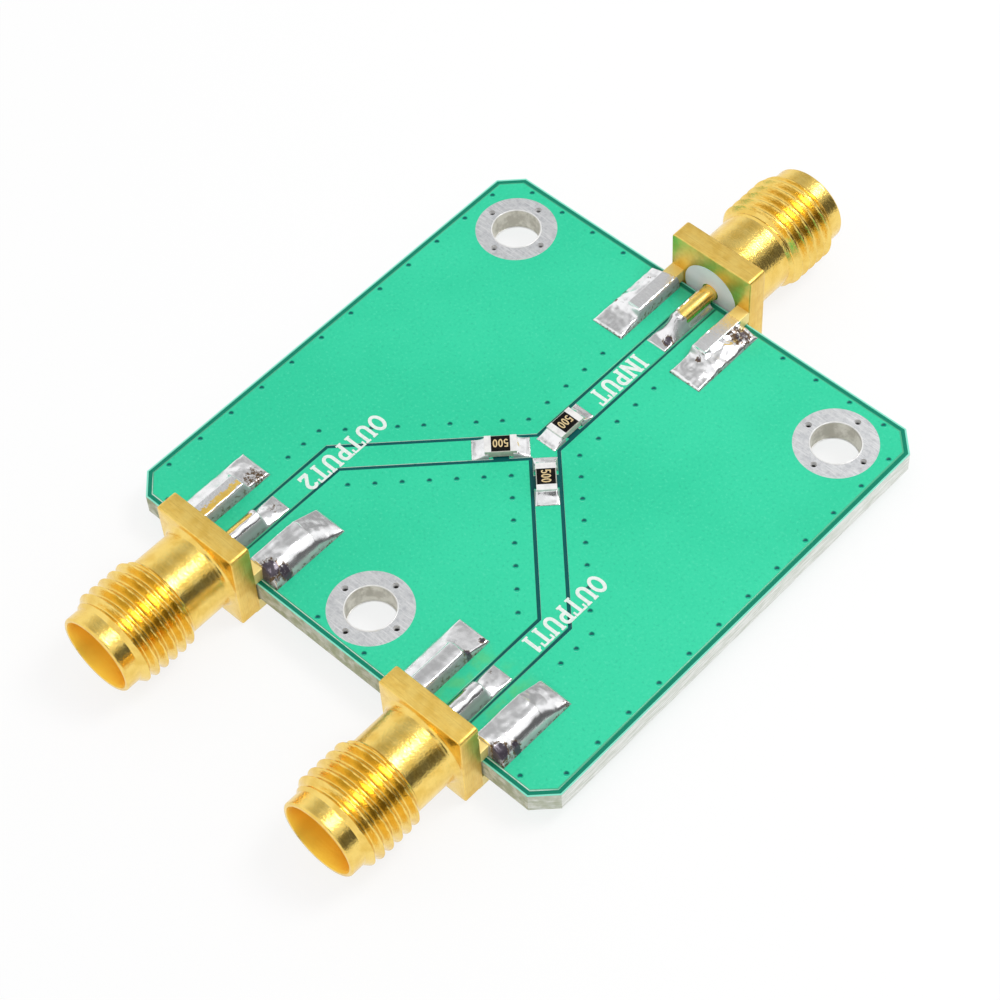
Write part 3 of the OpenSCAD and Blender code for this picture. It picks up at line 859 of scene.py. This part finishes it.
def build_pin_solder(jack):
    builder = bmesh.new()
    half = SIGNAL_W / 2
    look = PIN_LOOKS[jack.port]
    low, high = (-half, -SIGNAL_TO), (half, -PAD_FROM)
    seed = 4.0 + PORTS.index(jack.port)

    def height(x, y):
        back = -y + 0.3 * ripple(x, y, 1.7, seed)
        across = x * look.wet_side * jack.turn
        wet = max(smooth(back, look.bare_to - 0.25, look.bare_to + 0.25),
                  smooth(across, look.wet_from - 0.1, look.wet_from + 0.1))
        coat = PIN_R + sqrt(max(0.0, PIN_R ** 2 - x * x)) + PIN_SKIN * wet - PIN_SINK * (1 - wet)
        coat *= clamp((half - abs(x)) / (half - PIN_R))
        side = clamp((half - abs(x)) / (half - PIN_FILLET_IN))
        fillet = TIN_T + (0.08 + 0.67 * wet) * side
        along = soft_max(coat, fillet, 0.1)
        ridge = (2 * PIN_R + PIN_SKIN) * (1 - smooth(-y, PIN_L - 0.1, PIN_L + look.toe))
        swell = 0.3 * (1 - smooth(-y, PIN_L, SIGNAL_TO))
        toe = TIN_T + max(ridge, swell) * clamp(1 - (x / half) ** 2) ** 1.4
        past = smooth(-y, PIN_L, PIN_L + 0.3)
        mound = along * (1 - past) + toe * past + 0.05 * ripple(x, y, 1.8, seed)
        return max(TIN_LEAST, mound) * edge_fade(x, y, low, high, PIN_ROLL) + TIN_FOOT

    across, *spot = look.spot
    burn = burn_field(low, high, PIN_RIM, [(across * jack.turn, *spot)])
    xs, ys = steps(-half, half, SOLDER_GRID), steps(-SIGNAL_TO, -PAD_FROM, SOLDER_GRID)
    add_height_field(builder, xs, ys, height, jack.top, 1, burn)
    make_solder(jack.port, "pin_joint", "pin_solder", builder, jack.matrix())


# Chip resistors

ARM_TURN = {"input": 90, "output_1": -45, "output_2": -135}


def chip_matrix(port):
    low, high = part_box(f"{port}_resistor_substrate")
    middle = (low + high) / 2
    turn = Matrix.Rotation(radians(ARM_TURN[port]), 4, "Z")
    return Matrix.Translation((middle.x, middle.y, BOARD_TOP * MM)) @ turn


def build_chip_solder(port):
    builder = bmesh.new()
    half = SIGNAL_W / 2
    inner, outer = CHIP_L / 2 - CHIP_UNDER, CHIP_PADS_L / 2
    seed = 20.0 + PORTS.index(port)
    for side in (-1, 1):
        xs = [side * x for x in steps(inner, outer, CHIP_GRID)]

        def height(x, y):
            reach = clamp((abs(x) - CHIP_L / 2) / (outer - CHIP_L / 2 - 0.1))
            mound = TIN_T + (CHIP_SOLDER_H - TIN_T) * (1 - reach) ** 1.8
            mound += 0.03 * ripple(x, y, 2.6, seed)
            return mound * edge_fade(abs(x), y, (inner - 1, -half), (outer, half), 0.22) + TIN_FOOT

        def burn(x, y):
            return 0.4 * (1 - smooth(outer - abs(x), 0.02, 0.15))

        add_height_field(builder, xs, steps(-half, half, SOLDER_GRID), height, 0, 1, burn)
    make_solder(port, "resistor_joints", "resistor_solder", builder, chip_matrix(port))


# Lettering, as strokes in units of the letter's height

def arc(x, y, rx, ry, start, end, count=8):
    angles = [radians(start + (end - start) * k / count) for k in range(count + 1)]
    return [(x + rx * cos(a), y + ry * sin(a)) for a in angles]


def serif(x, y, reach=0.17):
    return [(x - reach, y), (x + reach, y)]


STEM, FOOT = 0.17, 0.1
LOW, TOP = FOOT / 2, 1 - FOOT / 2
# Each letter: its advance, its thick strokes and its thin ones
LETTERS = {
    "I": (0.52, [[(0.26, 0), (0.26, 1)]], [serif(0.26, LOW), serif(0.26, TOP)]),
    "N": (0.98, [[(0.2, 0), (0.2, 1)], [(0.2, 0.98), (0.76, 0.02)], [(0.76, 0), (0.76, 1)]],
          [serif(0.2, LOW, 0.15), serif(0.14, TOP, 0.12), serif(0.78, TOP, 0.16)]),
    "P": (0.80, [[(0.22, 0), (0.22, 1)],
                 [(0.22, 0.92)] + arc(0.46, 0.68, 0.2, 0.24, 90, -90) + [(0.22, 0.44)]],
          [serif(0.22, LOW), serif(0.14, TOP, 0.12)]),
    "U": (0.94, [[(0.2, 1)] + arc(0.46, 0.34, 0.26, 0.26, 180, 360) + [(0.72, 1)]],
          [serif(0.2, TOP, 0.16), serif(0.72, TOP, 0.16)]),
    "T": (0.86, [[(0.42, 0), (0.42, 1)]],
          [serif(0.42, TOP, 0.38), serif(0.42, LOW), [(0.06, 0.72), (0.06, 1)], [(0.78, 0.72), (0.78, 1)]]),
    "O": (0.92, [arc(0.45, 0.5, 0.31, 0.42, 0, 360, 24)], []),
    "1": (0.60, [[(0.32, 0), (0.32, 1)]], [serif(0.32, LOW, 0.2), [(0.12, 0.78), (0.32, 0.94)]]),
    "2": (0.78, [arc(0.37, 0.7, 0.24, 0.22, 165, -40) + [(0.14, 0.1)], [(0.1, 0.085), (0.66, 0.085)]],
          [[(0.64, 0.0), (0.64, 0.24)]]),
    "5": (0.78, [[(0.62, 0.92), (0.2, 0.92), (0.17, 0.52)] + arc(0.37, 0.32, 0.25, 0.24, 110, -150)], []),
    "0": (0.78, [arc(0.38, 0.5, 0.24, 0.42, 0, 360, 20)], []),
}


def add_stroke(builder, points, width, top):
    """A flat ribbon of ink along points, with mitred turns; a line that ends at its start is a ring."""
    points = [Vector(p) for p in points]
    ring = (points[0] - points[-1]).length < 1e-6
    if ring:
        points.pop()
    count = len(points)
    rows = []
    for k, point in enumerate(points):
        before = points[k - 1] if ring or k else point
        after = points[(k + 1) % count] if ring or k < count - 1 else point
        first = (point - before).normalized() if point != before else (after - point).normalized()
        second = (after - point).normalized() if point != after else first
        along = (first + second).normalized()
        across = Vector((-along.y, along.x)) * width / 2 / max(MITRE_LEAST, along.dot(first))
        ends = (point + across, point - across)
        rows.append([builder.verts.new((*p, z)) for z in (top, 0) for p in ends])
    pairs = list(zip(rows, rows[1:])) + ([(rows[-1], rows[0])] if ring else [])
    for a, b in pairs:
        for i, j in ((0, 1), (1, 3), (3, 2), (2, 0)):
            builder.faces.new((a[i], a[j], b[j], b[i]))
    if not ring:
        builder.faces.new([rows[0][i] for i in (0, 1, 3, 2)])
        builder.faces.new([rows[-1][i] for i in (0, 2, 3, 1)])


def build_lettering(name, text, length, height, matrix, material, weight=1.0):
    """Painted text that runs along x from 0 to length and stands height tall along y."""
    builder = bmesh.new()
    stretch = length / sum(LETTERS[c][0] for c in text)
    x = 0.0
    for place, letter in enumerate(text):
        advance, thick, thin = LETTERS[letter]
        strokes = [(s, STEM) for s in thick] + [(s, FOOT) for s in thin]
        for layer, (points, width) in enumerate(strokes):
            line = [(x + px * stretch, py * height) for px, py in points]
            top = INK_T + INK_STEP * (layer + 5 * (place % 2))
            add_stroke(builder, line, width * height * weight, top)
        x += advance * stretch
    make_piece(name, builder, matrix, material)


# Labels: text, distance of its foot line from the jack's axis, where it starts and how long it is
LABELS = {
    "input": ("INPUT", -0.65, 10.65, 4.45),
    "output_1": ("OUTPUT1", -0.65, -3.35, 6.4),
    "output_2": ("OUTPUT2", -0.5, -3.3, 6.9),
}


def build_label(port):
    text, foot, start, length = LABELS[port]
    place = Vector((JACKS[port].middle.x + foot, start, BOARD_TOP)) * MM
    matrix = Matrix.Translation(place) @ Matrix.Rotation(-pi / 2, 4, "Z")
    build_lettering(f"{port}_label", text, length, LABEL_H, matrix, LABEL_INK)


DIGITS = "500"
DIGITS_L = 1.0
DIGITS_H = 0.62
DIGITS_WEIGHT = 0.75


def build_digits(port):
    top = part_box(f"{port}_resistor_coating")[1].z
    turn = pi if port == "input" else 0.0
    raised = Matrix.Translation((0, 0, top - BOARD_TOP * MM))
    centred = Matrix.Translation((-DIGITS_L / 2 * MM, -DIGITS_H / 2 * MM, 0))
    matrix = chip_matrix(port) @ raised @ Matrix.Rotation(turn, 4, "Z") @ centred
    name = f"{port}_resistor_digits"
    build_lettering(name, DIGITS, DIGITS_L, DIGITS_H, matrix, DIGIT_INK, DIGITS_WEIGHT)


# Vias, found as the small round holes in the solids

SMALL_HOLE = 0.7


def welded_copy(node):
    builder = bmesh.new()
    builder.from_mesh(nodes[node].data)
    bmesh.ops.remove_doubles(builder, verts=builder.verts[:], dist=WELD * MM)
    return builder


def via_places(node):
    """Centres of the small round holes in a solid and the heights of their walls, in millimetres."""
    builder = welded_copy(node)
    waiting = {face for face in builder.faces if abs(face.normal.z) < 0.5}
    places = []
    while waiting:
        front = [waiting.pop()]
        wall = set()
        while front:
            face = front.pop()
            wall.update(vert.co.copy().freeze() for vert in face.verts)
            linked = {other for edge in face.edges for other in edge.link_faces} & waiting
            waiting -= linked
            front += linked
        spans = [(min(p[k] for p in wall) / MM, max(p[k] for p in wall) / MM) for k in range(3)]
        if all(high - low < SMALL_HOLE for low, high in spans[:2]):
            x, y = ((low + high) / 2 for low, high in spans[:2])
            places.append((x, y, (spans[0][1] - spans[0][0]) / 2, spans[2]))
    builder.free()
    return places


VIA_SHADE_TURN = radians(135)
VIA_STEPS = 20
VIA_FLOOR_T = 0.004
# Loops of a dish from rim to floor, then its flat underside: shares of the radius and depth, and shade
VIA_PROFILE = ((1.0, 0.1, 0.0), (0.8, 0.55, 0.5), (0.5, 0.85, 0.95), (0.15, 0.95, 0.8), (0.15, 1.0, 0.8),
               (1.0, 1.0, 0.0))


def build_via_dishes(name, solids):
    """A shallow dish in each small hole of the given solids, open to the board's nearer face."""
    builder = bmesh.new()
    layer = builder.verts.layers.float.new("depth")
    middle = (BOARD_TOP + BOARD_BOTTOM) / 2
    for node in solids:
        for x, y, radius, (low, high) in via_places(node):
            outer, inner, up = (high, low, 1) if high > middle else (low, high, -1)
            drop = abs(outer - inner) - VIA_FLOOR_T
            ring = even_angles(VIA_STEPS)
            loops = [ring_points(x, y, share * radius, outer - up * depth * drop, ring)
                     for share, depth, shade in VIA_PROFILE]
            rows = add_loops(builder, loops)
            for row, (share, depth, shade) in zip(rows, VIA_PROFILE):
                for vert, a in zip(row, ring):
                    # Painted shade, darker towards the floor and towards one side, with a painted pale
                    # crescent across the rim on the other side.
                    toward = cos(a - VIA_SHADE_TURN)
                    vert[layer] = shade * (0.75 + 0.4 * toward) - 0.6 * share ** 2 * max(0.0, -toward)
    make_piece(name, builder, Matrix.Identity(4), VIA)


# Rounded lips of the plated holes

LIP_R = 0.045
LIP_STEPS = 72
LIP_SECTION_STEPS = 12


def build_hole_lips(name, solids):
    """A rounded lip round both mouths of each plated hole."""
    builder = bmesh.new()
    ring = even_angles(LIP_STEPS)
    round_section = even_angles(LIP_SECTION_STEPS)
    for node in solids:
        low, high = box_mm(node)
        x, y = (low.x + high.x) / 2, (low.y + high.y) / 2
        points = [vert.co / MM for vert in nodes[node].data.vertices]
        radius = min(hypot(point.x - x, point.y - y) for point in points)
        for z in (low.z, high.z):
            section = [(radius + LIP_R * cos(a), z + LIP_R * sin(a)) for a in round_section]
            add_loops(builder, [ring_points(x, y, r, level, ring) for r, level in section])
    make_piece(name, builder, Matrix.Identity(4), LIP)


# Rounded shoulders of the mask where the copper under it ends

def top_outlines(node, least):
    """Outlines of a solid's top face longer than a given size, counter-clockwise round the copper."""
    builder = welded_copy(node)
    follow = {}
    for face in builder.faces:
        if face.normal.z > 0.9:
            for loop in face.loops:
                if any(other.normal.z < 0.5 for other in loop.edge.link_faces):
                    follow[loop.vert] = loop.link_loop_next.vert
    outlines = []
    while follow:
        vert, after = follow.popitem()
        outline = [vert.co / MM]
        while after in follow:
            outline.append(after.co / MM)
            after = follow.pop(after)
        if max(p.x for p in outline) - min(p.x for p in outline) > least:
            outlines.append(outline)
    builder.free()
    return outlines


def build_shoulders(name, sources):
    """A quarter round along each outline, from the top of the mask down to the board."""
    builder = bmesh.new()
    drop = BOARD_TOP - box_mm("board_laminate")[1].z
    turns = [radians(a) for a in (0, 30, 60, 90)]
    profile = [(sin(a), drop * (1 - cos(a))) for a in turns] + [(0.0, drop)]
    for node, least in sources.items():
        for outline in top_outlines(node, least):
            outward = []
            for before, point, after in zip(outline[-1:] + outline, outline, outline[1:] + outline[:1]):
                first, second = (point - before).normalized(), (after - point).normalized()
                along = (first + second).normalized()
                x, y = abs(point.x), abs(point.y)
                rim = max(x, y) > SHOULDER_SIDE or x + y > SHOULDER_CORNER
                width = SHOULDER_W if rim else SHOULDER_GAP_W
                outward.append(Vector((along.y, -along.x, 0)) * width / max(MITRE_LEAST, along.dot(first)))
            loops = [[point + aside * out - Vector((0, 0, down)) for point, out in zip(outline, outward)]
                     for aside, down in profile]
            add_loops(builder, loops)
    make_piece(name, builder, Matrix.Identity(4), SHOULDER)


# The dressed part

# Finish and width of the softened edges of the solids that each port has
FINISHES = {
    "jack_insulator": (INSULATOR, 0.0),
    "jack_contact": (CONTACT, 0.03),
    "trace": (MASKED, 0.0),
    "resistor_substrate": (CERAMIC, 0.03),
    "resistor_caps": (CAPS, 0.02),
    "resistor_coating": (COATING, 0.015),
}

for port in PORTS:
    jack = JACKS[port]
    build_jack_body(jack)
    build_ground_solder(jack)
    build_pin_solder(jack)
    build_chip_solder(port)
    build_label(port)
    build_digits(port)
    for solid, finish in FINISHES.items():
        dress(f"{port}_{solid}", *finish)
TOP_POURS = ("ground_pour_left", "ground_pour_right", "ground_pour_lower")
POURS = (*TOP_POURS, "bottom_ground_plane")
RING_SIZE = 6
for node in (*POURS, "star_junction"):
    dress(node, MASKED)
RINGS = ("hole_plating_left", "hole_plating_right", "hole_plating_lower")
for node in RINGS:
    dress(node, PLATING)
build_hole_lips("hole_lips", RINGS)
dress("board_laminate", LAMINATE)
build_via_dishes("mask_vias", POURS)
build_shoulders("mask_shoulders", {**{node: RING_SIZE for node in TOP_POURS},
                                   **{f"{port}_trace": 0 for port in PORTS}, "star_junction": 0})


# Camera, at the photograph's viewing angle

CAMERA_PLACE = (70.078, -69.445, 136.005)
CAMERA_AIM = (0.701, -3.121, 2.625)
CAMERA_ROLL = radians(-4.208)
CAMERA_LENS = 98.68
CAMERA_SENSOR = 36
CAMERA_NEAR = 0.01
MIDDLE = (0, 0, 0)


def facing(place, aim=MIDDLE):
    """Matrix of a camera, lamp or card at a place, turned to face a point."""
    turned = (Vector(aim) - Vector(place)).to_track_quat("-Z", "Y").to_matrix().to_4x4()
    return Matrix.Translation(Vector(place) * MM) @ turned


camera_data = bpy.data.cameras.new("camera")
camera_data.lens = CAMERA_LENS
camera_data.sensor_width = CAMERA_SENSOR
camera_data.clip_start = CAMERA_NEAR
camera = bpy.data.objects.new("camera", camera_data)
scene.collection.objects.link(camera)
camera.matrix_world = facing(CAMERA_PLACE, CAMERA_AIM) @ Matrix.Rotation(CAMERA_ROLL, 4, "Z")
scene.camera = camera


# Stage: white floor, one soft light, grey cards and a white surround

def seen_value(tree):
    """1 for rays from the camera, in reflections and through glass, 0 for rays that only light the part."""
    path = add_node(tree, "LightPath").outputs
    seen = maths(tree, "MAXIMUM", path["Is Camera Ray"], path["Is Glossy Ray"])
    return maths(tree, "MAXIMUM", seen, path["Is Transmission Ray"])


FLOOR_GLOW = 0.82
FLOOR_REACH = 3.0
FLOOR_DROP = 0.05


def add_card(name, x, y, material):
    """A flat rectangle that reaches x and y from its middle."""
    mesh = bpy.data.meshes.new(name)
    mesh.from_pydata([(-x, -y, 0), (x, -y, 0), (x, y, 0), (-x, y, 0)], [], [(0, 1, 2, 3)])
    mesh.materials.append(material)
    card = bpy.data.objects.new(name, mesh)
    scene.collection.objects.link(card)
    return card


def build_floor():
    """White floor that keeps the part's soft shadow."""
    material, tree, shader = new_material("floor", Roughness=0.9, Specular_IOR_Level=0.0)
    grain = noise_value(tree, 0.02, 2.0)
    link(mix(tree, grain, (0.96, 0.96, 0.96), (1.0, 1.0, 1.0)), shader, "Base Color")
    white = add_node(tree, "Emission", {"Strength": 1.0}).outputs[0]
    share = multiply(tree, seen_value(tree), FLOOR_GLOW)
    mixed = add_node(tree, "MixShader", {0: share, 1: shader.outputs[0], 2: white}).outputs[0]
    link(mixed, tree.nodes["Material Output"], "Surface")
    floor = add_card("floor", FLOOR_REACH, FLOOR_REACH, material)
    floor.location.z = cad_box[0][2] - FLOOR_DROP * MM
    floor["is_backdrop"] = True


def add_area_light(name, place, size, power):
    data = bpy.data.lights.new(name, "AREA")
    data.shape = "RECTANGLE"
    data.size, data.size_y = (s * MM for s in size)
    data.energy = power
    lamp = bpy.data.objects.new(name, data)
    lamp.matrix_world = facing(place)
    scene.collection.objects.link(lamp)


WORLD_LIGHT = 0.72


def build_world():
    """White to the camera and in reflections, gentler as light on the part."""
    world = bpy.data.worlds.new("studio")
    scene.world = world
    world.use_nodes = True
    tree = world.node_tree
    background = tree.nodes["Background"]
    background.inputs["Color"].default_value = (1, 1, 1, 1)
    link(ramp(tree, seen_value(tree), 0, 1, WORLD_LIGHT, 1.0), background, "Strength")


FLAG_EDGE = 0.9
# Grey cards: place, size, grey at the core and share of the size that the core takes
FLAGS = {
    "side_flag": ((204, 94, 64), (290, 230), 0.13, 0.6),
    "front_flag": ((187, -124, 54), (170, 150), 0.12, 0.6),
    "back_flag": ((-105, 100, 202), (230, 230), 0.5, 0.1),
    "camera_flag": ((115, -115, 220), (120, 100), 0.1, 0.6),
    "far_flag": ((-130, 250, 105), (260, 170), 0.42, 0.2),
}


def build_flag(name, place, size, grey, core):
    """A grey card that only reflections see, for contrast in polished metal; paler outside its core."""
    material, tree, shader = new_material(name, Roughness=1.0, Specular_IOR_Level=0.0)
    spot = coordinates(tree)
    across = [maths(tree, "ABSOLUTE", axis_value(tree, spot, axis)) for axis in "XY"]
    shares = [maths(tree, "DIVIDE", reach, s / 2) for reach, s in zip(across, size)]
    edge = ramp(tree, maths(tree, "MAXIMUM", *shares), core, 1.0)
    link(mix(tree, edge, (grey,) * 3, (FLAG_EDGE,) * 3), shader, "Base Color")
    flag = add_card(name, *(s / 2 * MM for s in size), material)
    flag.matrix_world = facing(place)
    flag.visible_camera = False
    flag.visible_diffuse = False
    flag.visible_shadow = False
    flag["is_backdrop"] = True


build_floor()
build_world()
add_area_light("softbox", place=(70, 100, 218), size=(88, 88), power=0.225)
for name, flag in FLAGS.items():
    build_flag(name, *flag)

scene.view_settings.view_transform = "Standard"

boxes = {"cad": cad_box, "visual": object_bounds()}
{name: [list(corner) for corner in box] for name, box in boxes.items()}
